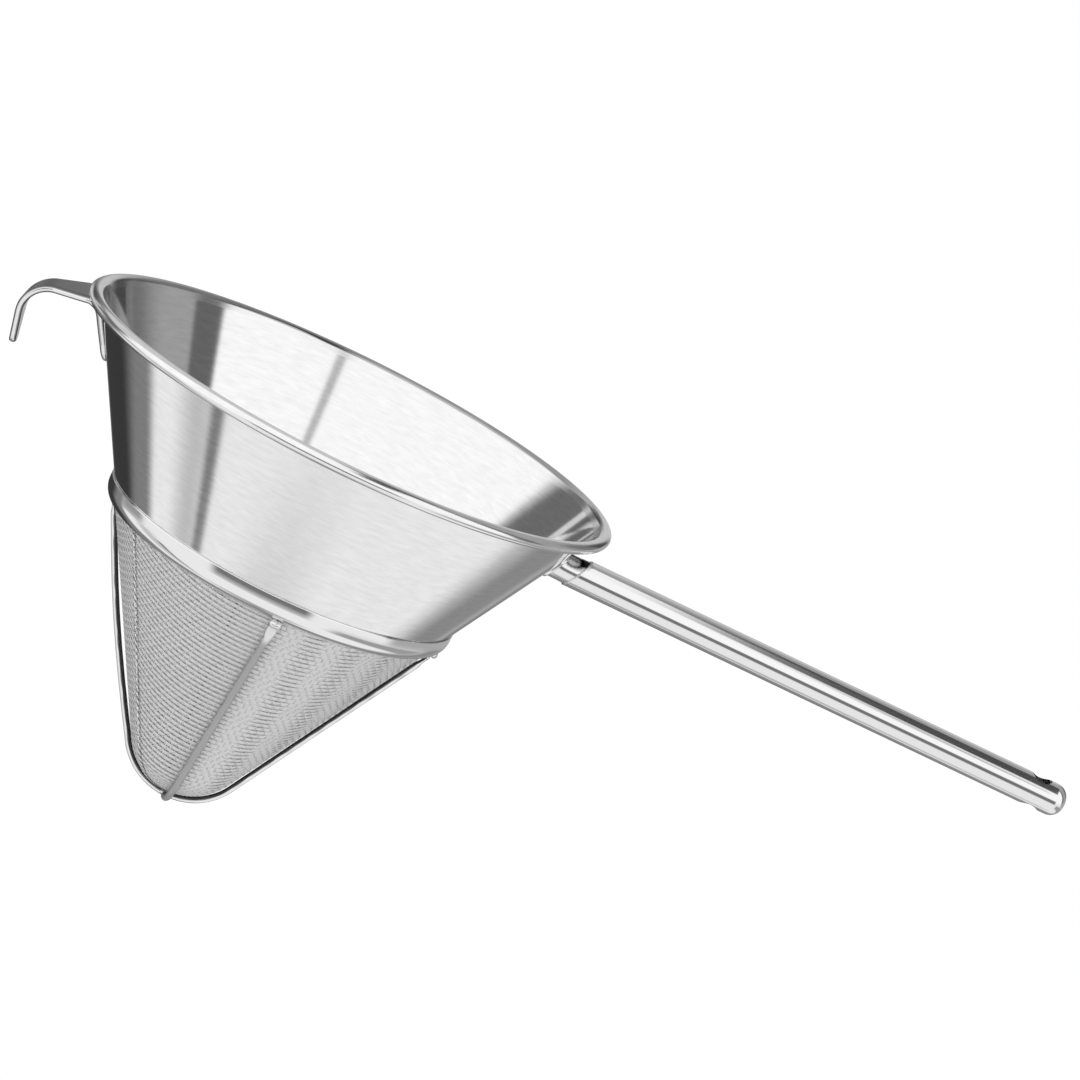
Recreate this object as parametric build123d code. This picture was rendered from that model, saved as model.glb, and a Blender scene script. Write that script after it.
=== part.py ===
from build123d import *
import math
import os

# Conical fine-mesh strainer, in millimetres and degrees.
# Origin: centre of the mouth, level with the top of the rolled rim.
# +Z runs up the cone's axis and out of the mouth, +X along the handle, and the hook is at -X.

# Sheet cone with its rolled rim
mouth_diameter = 203.2
wall_half_angle = 28.5
sheet = 0.7
cone_depth_share = 0.3268
flare_radius = 4.0
rim_wire_diameter = 2.2
rim_curl = 240.0
rim_crease = 0.6
fit_gap = 0.05

# Woven mesh cone
mesh_thickness = 0.45
mesh_collar = 6.0
mesh_tip_radius = 22.4
mesh_border = 4.0
windows_round = 12
window_rows = 5
window_share = 0.55

# Band that clamps the mesh on the cone, and the wire inside it
band_sheet = 0.6
band_height = 8.1
band_turn_radius = 3.0
band_turn = 75.0
band_wire_diameter = 1.4

# Guard of two crossed wires
guard_wire_diameter = 2.2
guard_gap = 0.7
guard_cross_angle = 79.5
guard_turn = -4.0
guard_top_gap = 0.6
foot_length = 5.0
foot_taper = 4.0
foot_width = 3.4
foot_thickness = 1.5
foot_weld_width = 4.4
foot_weld_height = 3.4
foot_weld_depth = 2.6
tip_press = 1.3
tip_weld_diameter = 5.0
tip_weld_height = 2.6

# Tube handle
handle_diameter = 12.0
handle_wall = 1.0
handle_rise = 0.7
handle_drop = 19.1
handle_reach = 190.2
handle_end_round = 5.0
handle_solid_end = 20.0
handle_near_gap = 8.0
hang_hole_diameter = 8.0
hang_hole_inset = 11.6

# Bracket between the cone and the tube
pad_thickness = 1.6
pad_width = 19.0
pad_height = 13.0
pad_corner = 3.5
neck_pad_share = 0.78
neck_tube_share = 0.9
spigot_length = 14.0
handle_weld_diameter = 1.6

# Sheet hook
hook_sheet = 2.5
hook_root_width = 31.0
hook_bend_width = 20.8
hook_tip_width = 9.6
hook_rim_gap = 0.8
hook_droop = 14.0
hook_skew = 2.0
hook_reach = 20.1
hook_bend_radius = 7.0
hook_tail_lean = 11.0
hook_tail = 34.0
tongue_length = 23.3
tongue_end_width = 16.0

# Worked out from the sizes above
tan_wall = math.tan(math.radians(wall_half_angle))
cos_wall = math.cos(math.radians(wall_half_angle))
sin_wall = math.sin(math.radians(wall_half_angle))
half_sheet = sheet / 2
half_mesh = mesh_thickness / 2
mouth_radius = mouth_diameter / 2
cone_depth = mouth_diameter * cone_depth_share
curl_radius = rim_wire_diameter / 2 + fit_gap + half_sheet
bead_radius = curl_radius + half_sheet
bead_centre = (mouth_radius - bead_radius, -bead_radius)
bead_to_wall = curl_radius + sheet + rim_crease
overrun = mouth_diameter


def moved(point, up=0.0, out=0.0):
    """Point of the section moved up along the wall and out square to it."""
    return (point[0] + up * sin_wall + out * cos_wall, point[1] + up * cos_wall - out * sin_wall)


def polar(centre, radius, degrees):
    """Point of the section at an angle round a centre."""
    turn = math.radians(degrees)
    return (centre[0] + radius * math.cos(turn), centre[1] + radius * math.sin(turn))


def heading(start, end):
    """Angle of the line from one point of the section to another."""
    return math.degrees(math.atan2(end[1] - start[1], end[0] - start[0]))


# The wall runs tangent into a flare, and the flare into the curl round the rim wire
flare_out = flare_radius - bead_to_wall
flare_down = math.sqrt((flare_radius - curl_radius) ** 2 - flare_out ** 2)
flare_centre = moved(bead_centre, up=-flare_down, out=flare_out)
wall_top = moved(flare_centre, out=-flare_radius)
wall_foot = moved(wall_top, up=-(wall_top[1] + cone_depth) / cos_wall)


def wall_radius(height, out=0.0):
    """Radius of the wall's outer face at a height, or of a cone that far outside it."""
    point = moved(wall_top, out=half_sheet + out)
    return point[0] + (height - point[1]) * tan_wall


def apex_height(out):
    """Height at which the cone that far outside the wall comes to a point."""
    point = moved(wall_top, out=half_sheet + out)
    return point[1] - point[0] / tan_wall


def section(point, across=0.0):
    """Point of the section as a place in the model."""
    return Vector(point[0], across, point[1])


def strip_face(path, thickness):
    """Face of even thickness along straight runs and arcs that join smoothly."""
    edges = {1: [], -1: []}
    for run in path:
        for side in edges:
            shift = side * thickness / 2
            if run[0] == "line":
                start, end = run[1:]
                turn = heading(start, end) + 90
                points = [polar(start, shift, turn), polar(end, shift, turn)]
                edges[side].append(Edge.make_line(section(points[0]), section(points[1])))
            else:
                centre, radius, start, end = run[1:]
                reach = radius + shift if end < start else radius - shift
                points = [polar(centre, reach, angle) for angle in (start, (start + end) / 2, end)]
                edges[side].append(Edge.make_three_point_arc(*[section(point) for point in points]))
    first = Edge.make_line(edges[-1][0] @ 0, edges[1][0] @ 0)
    last = Edge.make_line(edges[1][-1] @ 1, edges[-1][-1] @ 1)
    return Face(Wire([first] + edges[1] + [last] + edges[-1]))


def ring(radius, height, diameter):
    """Ring of round wire about the cone's axis."""
    return Pos(0, 0, height) * Torus(radius, diameter / 2)


def inside_cone(out):
    """Solid that fills the cone out to a distance outside its wall."""
    low = apex_height(out)
    outline = Polyline((0, 0, low), (wall_radius(0, out), 0, 0), (0, 0, 0), close=True)
    return revolve(make_face(outline), Axis.Z)


def cone_body():
    """Sheet cone with its lip below and its edge rolled outwards round the rim wire."""
    top_angle = heading(flare_centre, bead_centre)
    path = [
        ("line", wall_foot, wall_top),
        ("arc", flare_centre, flare_radius, 180 - wall_half_angle, top_angle),
        ("arc", bead_centre, curl_radius, top_angle, top_angle - rim_curl),
    ]
    return revolve(strip_face(path, sheet), Axis.Z)


def rim_wire():
    """Wire inside the rolled rim."""
    return ring(bead_centre[0], bead_centre[1], rim_wire_diameter)


def mesh_windows(top, foot):
    """Blocks that cut a plain grid of openings, which stands for the weave's gaps, in the mesh's wall."""
    reach = math.dist(top, foot) / window_rows
    column = 360 / windows_round
    blocks = []
    for row in range(window_rows):
        low = moved(foot, up=reach * row)
        high = moved(low, up=reach * window_share)
        block = revolve(strip_face([("line", low, high)], mesh_thickness * 4), Axis.Z, column * window_share)
        blocks += [Rot(0, 0, column * step) * block for step in range(windows_round)]
    return blocks


def mesh_cone():
    """Woven cone with a rounded tip, its collar lying on the outside of the sheet cone's lip."""
    out = fit_gap + half_mesh
    tip_radius = mesh_tip_radius - half_mesh
    tip_height = apex_height(out) + tip_radius / sin_wall
    tangent = polar((0, tip_height), tip_radius, -wall_half_angle)
    collar_height = mesh_collar - cone_depth
    path = [
        ("line", (wall_radius(collar_height, out), collar_height), tangent),
        ("arc", (0, tip_height), tip_radius, -wall_half_angle, -90),
    ]
    border = -cone_depth - mesh_border
    windows = mesh_windows((wall_radius(border, out), border), tangent)
    return revolve(strip_face(path, mesh_thickness), Axis.Z) - windows


# The band stands on the wall at its upper edge and turns in under the mesh's collar
mesh_out = fit_gap + mesh_thickness
band_top = band_height - cone_depth
band_radius = wall_radius(band_top) + fit_gap / cos_wall + band_sheet / 2
band_turn_height = -cone_depth + band_turn_radius + band_sheet / 2
band_turn_centre = (band_radius - band_turn_radius, band_turn_height)


def mesh_band():
    """Formed band round the lip: straight wall, rounded underside and a lip against the mesh."""
    turn_end = polar(band_turn_centre, band_turn_radius, -band_turn)
    reach = turn_end[0] - wall_radius(turn_end[1], mesh_out + fit_gap)
    side = math.radians(band_turn)
    closing = math.sin(side) - math.cos(side) * tan_wall
    corner = band_sheet / 2 * (math.cos(side) + math.sin(side) * tan_wall)
    lip_end = polar(turn_end, (reach - corner) / closing, 270 - band_turn)
    path = [
        ("line", (band_radius, band_top), (band_radius, band_turn_height)),
        ("arc", band_turn_centre, band_turn_radius, 0, -band_turn),
        ("line", turn_end, lip_end),
    ]
    return revolve(strip_face(path, band_sheet), Axis.Z)


def mesh_edge_wire():
    """Wire ring that lies in the band's turn, against the mesh."""
    inner = band_turn_radius - band_sheet / 2 - band_wire_diameter / 2 - fit_gap
    face = wall_radius(band_turn_height, mesh_out)
    out = (face - band_turn_centre[0]) * cos_wall + band_wire_diameter / 2 + fit_gap
    place = moved(band_turn_centre, up=-math.sqrt(inner ** 2 - out ** 2), out=out)
    return ring(place[0], place[1], band_wire_diameter)


# A guard leg runs beside the mesh and ends in a flattened foot under the band
guard_radius = guard_wire_diameter / 2
leg_out = mesh_out + guard_gap + guard_radius
leg_top_height = -cone_depth - band_sheet / 2 - guard_top_gap
leg_top = (wall_radius(leg_top_height, leg_out), leg_top_height)
side_tip_radius = mesh_tip_radius + guard_gap + guard_radius
tip_step = guard_wire_diameter - tip_press
side_tip_height = apex_height(leg_out) + side_tip_radius * (1 / sin_wall - 1)


def guard_wire(drop):
    """U-shaped guard wire in the plane of the handle, its tip lowered by a drop."""
    tip_radius = side_tip_radius - drop / (1 / sin_wall - 1)
    centre = (0, apex_height(leg_out) + tip_radius / sin_wall)
    tangent = polar(centre, tip_radius, -wall_half_angle)
    bare_top = moved(leg_top, up=-foot_length)
    round_top = moved(leg_top, up=-foot_length - foot_taper)
    leg = Edge.make_line(section(round_top), section(tangent))
    tip = section(polar(centre, tip_radius, -90))
    arc = Edge.make_three_point_arc(section(tangent), tip, section((-tangent[0], tangent[1])))
    path = Wire([leg, arc, leg.mirror(Plane.YZ)])
    wire = sweep(Plane(section(round_top), z_dir=leg % 0) * Circle(guard_radius), path=path)

    def level(point):
        """Plane across the leg, its x axis square to the wall."""
        return Plane(section(point), x_dir=(cos_wall, 0, -sin_wall), z_dir=(sin_wall, 0, cos_wall))

    flat = Ellipse(foot_thickness / 2, foot_width / 2)
    taper = loft([(level(round_top) * Circle(guard_radius)).face(), (level(bare_top) * flat).face()])
    foot = extrude(level(bare_top) * flat, foot_length)
    end = taper + foot
    return wire + end + end.mirror(Plane.YZ)


def guard_foot_welds(band, wires):
    """Weld beads between the band's underside and the four leg ends."""
    size = (foot_weld_depth / 2, foot_weld_width / 2, foot_weld_height / 2)
    place = Pos(section(moved(leg_top, up=guard_top_gap / 2)))
    bead = place * Rot(0, wall_half_angle, 0) * scale(Sphere(1), by=size)
    inside_band = Pos(0, 0, band_turn_height) * Torus(band_turn_centre[0], band_turn_radius)
    taken = band + inside_band + wires + inside_cone(mesh_out + fit_gap)
    return [Rot(0, 0, turn) * bead - taken for turn in guard_turns]


def guard_tip_weld(wires):
    """Weld where the two guard wires cross."""
    size = (tip_weld_diameter / 2, tip_weld_diameter / 2, tip_weld_height / 2)
    return Pos(0, 0, side_tip_height - tip_step / 2) * scale(Sphere(1), by=size) - wires


# The handle's frame: its x axis runs out along the tube, from below the rim's edge
handle_radius = handle_diameter / 2
handle_frame = Plane((mouth_radius, 0, -handle_drop)).rotated((0, -handle_rise, 0))
wall_at_handle = (wall_radius(-handle_drop), -handle_drop)


def wall_plane(out):
    """Plane square to the wall's slope at the handle, that far outside it."""
    origin = section(moved(wall_at_handle, out=out))
    return Plane(origin, x_dir=(0, 1, 0), z_dir=(cos_wall, 0, -sin_wall))


def handle_crossing(out):
    """Distance along the handle's axis at which it crosses that plane."""
    plane = wall_plane(out)
    axis = handle_frame.x_dir
    return (plane.origin - handle_frame.origin).dot(plane.z_dir) / axis.dot(plane.z_dir)


def handle_oval(out, share):
    """Slanted cut through the handle at that plane, narrowed to a share of its size."""
    plane = wall_plane(out)
    centre = handle_frame.origin + handle_frame.x_dir * handle_crossing(out)
    stretch = 1 / handle_frame.x_dir.dot(plane.z_dir)
    oval = Ellipse(handle_radius * share, handle_radius * share * stretch)
    return (Plane(centre, x_dir=plane.x_dir, z_dir=plane.z_dir) * oval).face()


def handle_bar(radius, end, end_round):
    """Round bar along the handle from inside the cone to a rounded far end."""
    start = -mouth_radius
    corner = (end - end_round, radius - end_round)
    shoulder = section((corner[0], radius))
    nose = section((end, corner[1]))
    outline = [
        Edge.make_line(section((start, 0)), section((start, radius))),
        Edge.make_line(section((start, radius)), shoulder),
        Edge.make_three_point_arc(shoulder, section(polar(corner, end_round, 45)), nose),
        Edge.make_line(nose, section((end, 0))),
        Edge.make_line(section((end, 0)), section((start, 0))),
    ]
    return handle_frame.location * revolve(Face(Wire(outline)), Axis.X)


def beyond_wall(out):
    """Block that fills the space on the handle's side of that plane."""
    block = Box(overrun * 2, overrun * 2, overrun * 2, align=(Align.CENTER, Align.CENTER, Align.MIN))
    return wall_plane(out).location * block


def handle_tube():
    """Tube with a slanted near end and a solid round far end, which has the hanging hole."""
    outside = handle_bar(handle_radius, handle_reach, handle_end_round)
    inside = handle_bar(handle_radius - handle_wall, handle_reach - handle_solid_end, handle_wall)
    hole = Pos(handle_reach - hang_hole_inset, 0, 0) * Cylinder(hang_hole_diameter / 2, handle_diameter * 2)
    return (outside - inside - handle_frame.location * hole) & beyond_wall(handle_near_gap)


def handle_bracket():
    """Pad that follows the wall, a short oval neck and a spigot inside the tube."""
    outline = wall_plane(0) * RectangleRounded(pad_width, pad_height, pad_corner)
    pad = inside_cone(fit_gap + pad_thickness) & extrude(outline, pad_width / 2, both=True)
    pad_oval = handle_oval(-pad_thickness, neck_pad_share)
    neck = loft([pad_oval, handle_oval(handle_near_gap, neck_tube_share)])
    bore = handle_radius - handle_wall - fit_gap
    spigot_end = handle_crossing(handle_near_gap) + spigot_length
    spigot = handle_bar(bore, spigot_end, handle_wall) & beyond_wall(handle_near_gap)
    return pad + neck - inside_cone(fit_gap) + spigot


def handle_weld(bracket):
    """Weld bead round the neck where it meets the tube."""
    path = handle_oval(handle_near_gap, neck_tube_share).outer_wire()
    bead = sweep(Plane(path @ 0, z_dir=path % 0) * Circle(handle_weld_diameter / 2), path=path)
    tube = handle_bar(handle_radius, handle_reach, handle_end_round) & beyond_wall(handle_near_gap)
    return bead - (tube + bracket)


# The hook is drawn on the handle's side of the cone and turned to the far side
plate_mid = -bead_radius * 2 - hook_rim_gap - hook_sheet / 2 / math.cos(math.radians(hook_droop))
hook_bend_x = mouth_radius + hook_reach - hook_sheet / 2 - hook_bend_radius
plate_fall = (hook_bend_x - bead_centre[0]) * math.tan(math.radians(hook_droop))
hook_bend_z = plate_mid - plate_fall - hook_bend_radius / math.cos(math.radians(hook_droop))
hook_bend_centre = (hook_bend_x, hook_bend_z)


def hook_plate():
    """Flat plate of the hook, from inside the wall to the bend, tapering outwards."""
    bend_start = polar(hook_bend_centre, hook_bend_radius, 90 - hook_droop)
    back = bend_start[0] - wall_radius(plate_mid) + hook_sheet * 2
    start = polar(bend_start, back / math.cos(math.radians(hook_droop)), 180 - hook_droop)
    plate = extrude(strip_face([("line", start, bend_start)], hook_sheet), hook_root_width, both=True)
    root_x = wall_radius(-bead_radius * 2)
    corners = [(start[0], hook_root_width / 2), (root_x, hook_root_width / 2),
               (hook_bend_x, hook_bend_width / 2), (mouth_radius + hook_reach, hook_bend_width / 2)]
    mirrored = [(x, -y) for x, y in reversed(corners)]
    outline = extrude(make_face(Polyline(*corners, *mirrored, close=True)), overrun, both=True)
    return plate & outline


def hook_tail_strip():
    """Bend and tail of the hook, tapering down to a round tip."""
    bend_start = 90 - hook_droop
    tail_top = polar(hook_bend_centre, hook_bend_radius, -hook_tail_lean)
    tail_end = polar(tail_top, (tail_top[1] + hook_tail) / math.cos(math.radians(hook_tail_lean)),
                     270 - hook_tail_lean)
    path = [("arc", hook_bend_centre, hook_bend_radius, bend_start, -hook_tail_lean),
            ("line", tail_top, tail_end)]
    tail = extrude(strip_face(path, hook_sheet), hook_root_width, both=True)
    half, tip = hook_bend_width / 2, hook_tip_width / 2
    shoulder = polar(hook_bend_centre, hook_bend_radius, bend_start)[1]
    sides = [Vector(0, tip, tip - hook_tail), Vector(0, half, shoulder), Vector(0, half, 0)]
    mirrored = [Vector(0, -side.Y, side.Z) for side in reversed(sides)]
    edges = list(Polyline(*sides, *mirrored).edges())
    edges.append(Edge.make_three_point_arc(mirrored[-1], Vector(0, 0, -hook_tail), sides[0]))
    return tail & extrude(Face(Wire(edges)), overrun, dir=(1, 0, 0))


def hook_tongue():
    """Tongue of the hook that lies on the wall, with a round lower end."""
    top = (wall_radius(plate_mid), plate_mid)
    plane = Plane(section(top), x_dir=(0, 1, 0), z_dir=(cos_wall, 0, -sin_wall))
    half, end = hook_root_width / 2, tongue_end_width / 2
    low = end - tongue_length
    sides = [Vector(end, low), Vector(half, 0), Vector(half, hook_sheet * 2)]
    mirrored = [Vector(-side.X, side.Y) for side in reversed(sides)]
    edges = list(Polyline(*sides, *mirrored).edges())
    edges.append(Edge.make_three_point_arc(mirrored[-1], Vector(0, -tongue_length), sides[0]))
    outline = extrude(plane * Face(Wire(edges)), hook_root_width, both=True)
    shell = inside_cone(fit_gap + hook_sheet) - inside_cone(fit_gap)
    above = Box(overrun, overrun, overrun, align=(Align.CENTER, Align.CENTER, Align.MIN))
    lift = hook_sheet / 2 / math.cos(math.radians(hook_droop))
    above = Pos(bead_centre[0], 0, plate_mid + lift) * Rot(0, hook_droop, 0) * above
    return (shell & outline) - above


def hook():
    """Sheet hook: tongue on the wall, tapering plate, bend and tail."""
    root = Pos(bead_centre[0], 0, 0)
    arm = root * Rot(0, 0, hook_skew) * root.inverse() * (hook_plate() + hook_tail_strip())
    return Rot(0, 0, 180) * (hook_tongue() + (arm - inside_cone(fit_gap)))


guard_turns = [guard_turn + step for step in (0, 180, -guard_cross_angle, 180 - guard_cross_angle)]
band = mesh_band()
side_wire = Rot(0, 0, guard_turns[0]) * guard_wire(0)
front_wire = Rot(0, 0, guard_turns[2]) * guard_wire(tip_step) - side_wire
bracket = handle_bracket()

pieces = {
    "cone_body": [cone_body()],
    "rim_wire": [rim_wire()],
    "mesh_band": [band],
    "mesh_cone": [mesh_cone()],
    "mesh_edge_wire": [mesh_edge_wire()],
    "guard_side_wire": [side_wire],
    "guard_front_wire": [front_wire],
    "guard_foot_welds": guard_foot_welds(band, side_wire + front_wire),
    "guard_tip_weld": [guard_tip_weld(side_wire + front_wire)],
    "handle_bracket": [bracket],
    "handle_tube": [handle_tube()],
    "handle_weld": [handle_weld(bracket)],
    "hook": [hook()],
}

os.makedirs("parts", exist_ok=True)
for name, solids in pieces.items():
    piece = solids[0] if len(solids) == 1 else Compound(children=solids)
    export_step(piece, f"parts/{name}.step")
    print(name, round(piece.volume, 1))
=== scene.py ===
import math
import bpy
import bmesh
import numpy as np
from mathutils import Matrix, Vector


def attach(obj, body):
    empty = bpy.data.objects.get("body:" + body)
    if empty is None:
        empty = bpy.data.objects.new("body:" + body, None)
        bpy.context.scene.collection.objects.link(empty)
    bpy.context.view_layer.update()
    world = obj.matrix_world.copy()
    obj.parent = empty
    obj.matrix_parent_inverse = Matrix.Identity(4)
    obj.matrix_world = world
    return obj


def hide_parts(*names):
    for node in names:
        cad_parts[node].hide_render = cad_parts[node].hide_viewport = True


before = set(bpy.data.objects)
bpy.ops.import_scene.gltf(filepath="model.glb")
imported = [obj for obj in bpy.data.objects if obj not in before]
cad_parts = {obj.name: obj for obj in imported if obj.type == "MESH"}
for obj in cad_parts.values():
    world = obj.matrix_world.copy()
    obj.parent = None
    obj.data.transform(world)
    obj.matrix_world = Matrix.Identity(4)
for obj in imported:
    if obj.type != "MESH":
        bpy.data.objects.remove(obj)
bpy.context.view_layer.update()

# Conical fine-mesh strainer. Sizes are in millimetres and degrees and become metres in the mesh.
mm = 0.001
print("frame loaded:", len(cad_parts), "nodes")


# Cosine and sine of an angle in degrees.
def cosd(angle):
    return np.cos(np.radians(angle))


def sind(angle):
    return np.sin(np.radians(angle))


# Mesh object from arrays in millimetres. Its faces are turned if the closed volume comes out negative.
def meshFromArrays(name, verts, quads, tris=None):
    verts = np.asarray(verts, float).reshape(-1, 3) * mm
    quads = np.asarray(quads, int).reshape(-1, 4)
    tris = np.zeros((0, 3), int) if tris is None else np.asarray(tris, int).reshape(-1, 3)
    fan = np.concatenate([quads[:, [0, 1, 2]], quads[:, [0, 2, 3]], tris])
    a, b, c = verts[fan[:, 0]], verts[fan[:, 1]], verts[fan[:, 2]]
    if np.einsum("ij,ij->i", a, np.cross(b, c)).sum() < 0:
        quads, tris = quads[:, ::-1], tris[:, ::-1]
    mesh = bpy.data.meshes.new(name)
    loops = np.concatenate([quads.ravel(), tris.ravel()])
    counts = np.concatenate([np.full(len(quads), 4), np.full(len(tris), 3)])
    mesh.vertices.add(len(verts))
    mesh.vertices.foreach_set("co", verts.ravel())
    mesh.loops.add(len(loops))
    mesh.loops.foreach_set("vertex_index", loops)
    mesh.polygons.add(len(counts))
    mesh.polygons.foreach_set("loop_start", np.concatenate([[0], np.cumsum(counts)[:-1]]))
    mesh.polygons.foreach_set("use_smooth", np.ones(len(counts), bool))
    mesh.update(calc_edges=True)
    mesh.validate()
    piece = bpy.data.objects.new(name, mesh)
    bpy.context.scene.collection.objects.link(piece)
    return piece


# Skin over a grid of points (rows, columns, 3), closed round either way, with a fan on each end row.
def gridMesh(name, grid, wrapRows=True, wrapColumns=True, capEnds=False):
    rows, columns = grid.shape[:2]
    i = np.arange(rows if wrapRows else rows - 1)
    j = np.arange(columns if wrapColumns else columns - 1)
    i, j = np.meshgrid(i, j, indexing="ij")
    nextI, nextJ = (i + 1) % rows, (j + 1) % columns
    quads = np.stack([i * columns + j, nextI * columns + j,
                      nextI * columns + nextJ, i * columns + nextJ], -1)
    verts, tris = grid.reshape(-1, 3), None
    if capEnds:
        k = np.arange(columns)
        ends = np.stack([grid[0].mean(0), grid[-1].mean(0)])
        first, last = rows * columns, rows * columns + 1
        low = np.stack([np.full(columns, first), k, (k + 1) % columns], -1)
        top = (rows - 1) * columns
        high = np.stack([np.full(columns, last), top + (k + 1) % columns, top + k], -1)
        verts, tris = np.concatenate([verts, ends]), np.concatenate([low, high])
    return meshFromArrays(name, verts, quads.reshape(-1, 4), tris)


# Joins vertices that lie on the same spot, so that seams and poles are closed.
def merged(piece, distance=1e-7):
    work = bmesh.new()
    work.from_mesh(piece.data)
    bmesh.ops.remove_doubles(work, verts=work.verts, dist=distance)
    bmesh.ops.recalc_face_normals(work, faces=work.faces)
    work.to_mesh(piece.data)
    work.free()
    return piece


# One mesh object out of several.
def joined(name, pieces):
    work = bmesh.new()
    for piece in pieces:
        work.from_mesh(piece.data)
        old = piece.data
        bpy.data.objects.remove(piece)
        bpy.data.meshes.remove(old)
    mesh = bpy.data.meshes.new(name)
    work.to_mesh(mesh)
    work.free()
    whole = bpy.data.objects.new(name, mesh)
    bpy.context.scene.collection.objects.link(whole)
    return whole


arcStep, leastOnArc = 6.0, 5      # degrees between the points of an arc, and their least number


# Points and left-hand normals along straight runs ("line", a, b) and arcs ("arc", centre, radius,
# from, to).
def runPoints(path, step):
    points, normals = [], []
    for run in path:
        if run[0] == "line":
            start, end = np.array(run[1]), np.array(run[2])
            length = np.linalg.norm(end - start)
            share = np.linspace(0, 1, max(2, int(length / step) + 1))[:, None]
            heading = (end - start) / length
            points.append(start + share * (end - start))
            normals.append(np.tile([-heading[1], heading[0]], (len(share), 1)))
        else:
            centre, radius, first, last = run[1:]
            count = max(leastOnArc, int(abs(last - first) / arcStep) + 1)
            angle = np.linspace(first, last, count)
            spoke = np.stack([cosd(angle), sind(angle)], -1)
            points.append(np.array(centre) + radius * spoke)
            normals.append(spoke if last < first else -spoke)
    points, normals = np.concatenate(points), np.concatenate(normals)
    keep = np.concatenate([[True], np.linalg.norm(np.diff(points, axis=0), axis=1) > 1e-6])
    return points[keep], normals[keep]


# Closed outline of a sheet of even thickness along a path, with rounded edges at both ends.
def stripLoop(path, thickness, step=3.0, ends=7):
    points, normals = runPoints(path, step)
    half = thickness / 2
    left, right = points + normals * half, points - normals * half
    turn = np.linspace(0, 180, ends + 2)[1:-1, None]

    def nose(point, normal, forward):
        return point + half * (cosd(turn) * normal + sind(turn) * forward)

    def along(normal):
        return np.array([normal[1], -normal[0]])

    tip = nose(points[-1], normals[-1], along(normals[-1]))
    tail = nose(points[0], -normals[0], -along(normals[0]))
    return np.concatenate([left, tip, right[::-1], tail])


# A closed outline (radius, height) turned once round the cone's axis.
def revolved(name, loop, steps=420):
    turn = np.linspace(0, 360, steps, endpoint=False)[:, None]
    height = np.tile(loop[:, 1], (steps, 1))
    grid = np.stack([cosd(turn) * loop[:, 0], sind(turn) * loop[:, 0], height], -1)
    return gridMesh(name, grid)


# Oval section carried along a path: halfWide lies along the sideways vectors, halfThick across them.
def sweptTube(name, path, sideways, halfWide, halfThick, sides):
    ahead = np.gradient(path, axis=0)
    ahead /= np.linalg.norm(ahead, axis=1, keepdims=True)
    sideways = sideways - (sideways * ahead).sum(1, keepdims=True) * ahead
    sideways /= np.linalg.norm(sideways, axis=1, keepdims=True)
    across = np.cross(ahead, sideways)
    turn = np.linspace(0, 360, sides, endpoint=False)
    wide = halfWide[:, None, None] * cosd(turn)[None, :, None] * sideways[:, None, :]
    thick = halfThick[:, None, None] * sind(turn)[None, :, None] * across[:, None, :]
    return gridMesh(name, path[:, None, :] + wide + thick, wrapRows=False, capEnds=True)


skin = dict(waves=5, pitch=2.2, phase=6.28)      # the waves that push a weld's skin in and out


# Ball stretched along three axes, its skin pushed in and out by a few smooth waves.
def blob(name, centre, axes, sizes, wobble, seed, rings=14, sides=22):
    rng = np.random.default_rng(seed)
    up, turn = np.meshgrid(np.linspace(0, 180, rings + 2)[1:-1],
                           np.linspace(0, 360, sides, endpoint=False), indexing="ij")
    unit = np.stack([sind(up) * cosd(turn), sind(up) * sind(turn), cosd(up)], -1)
    swell = np.ones(up.shape)
    for _ in range(skin["waves"]):
        wave = rng.normal(size=3)
        swell += wobble * np.sin(unit @ wave * skin["pitch"] + rng.uniform(0, skin["phase"])) / 2
    grid = (unit * swell[..., None] * np.asarray(sizes)) @ np.asarray(axes, float) + np.asarray(centre)
    return gridMesh(name, grid, wrapRows=False, capEnds=True)


# Share of the full width at a share of the way in from a rounded end (a quarter circle).
def roundedEnd(share, least):
    return np.sqrt(np.clip(1 - (1 - np.clip(share, 0, 1)) ** 2, least, 1))


# Share from 0 to 1 that leaves and arrives gently: 3s^2 - 2s^3.
def eased(share):
    share = np.clip(share, 0, 1)
    return share * share * (3 - 2 * share)


# Every finished piece rides on the one body and stands for a CAD node, which is hidden.
def adopt(piece, node):
    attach(piece, "root")
    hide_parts(node)
    return piece


# Keeps a value from 0 to 1 for each vertex, which the steel turns into a darker tone: painted shade.
def markPaintedShade(piece, values):
    spots = piece.data.attributes.new("paintedShade", "FLOAT", "POINT").data
    spots.foreach_set("value", np.asarray(values, np.float32))


# Sheet cone: straight wall, flare, and an edge rolled round a wire at the mouth
cone = dict(mouthRadius=101.6, halfAngle=28.5, sheet=0.7, depth=66.406, flareRadius=2.4, rimWire=2.2,
            curl=240.0, crease=0.6, gap=0.05, settle=0.44, rimWireSides=16)
halfAngle = math.radians(cone["halfAngle"])
tanWall, cosWall, sinWall = math.tan(halfAngle), math.cos(halfAngle), math.sin(halfAngle)
curlRadius = cone["rimWire"] / 2 + cone["gap"] + cone["sheet"] / 2
beadRadius = curlRadius + cone["sheet"] / 2


# Point of the section moved up along the wall and out square to it.
def moved(point, up=0.0, out=0.0):
    return np.array([point[0] + up * sinWall + out * cosWall, point[1] + up * cosWall - out * sinWall])


# Point at an angle round a centre.
def polar(centre, radius, angle):
    return np.array([centre[0] + radius * cosd(angle), centre[1] + radius * sind(angle)])


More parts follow.
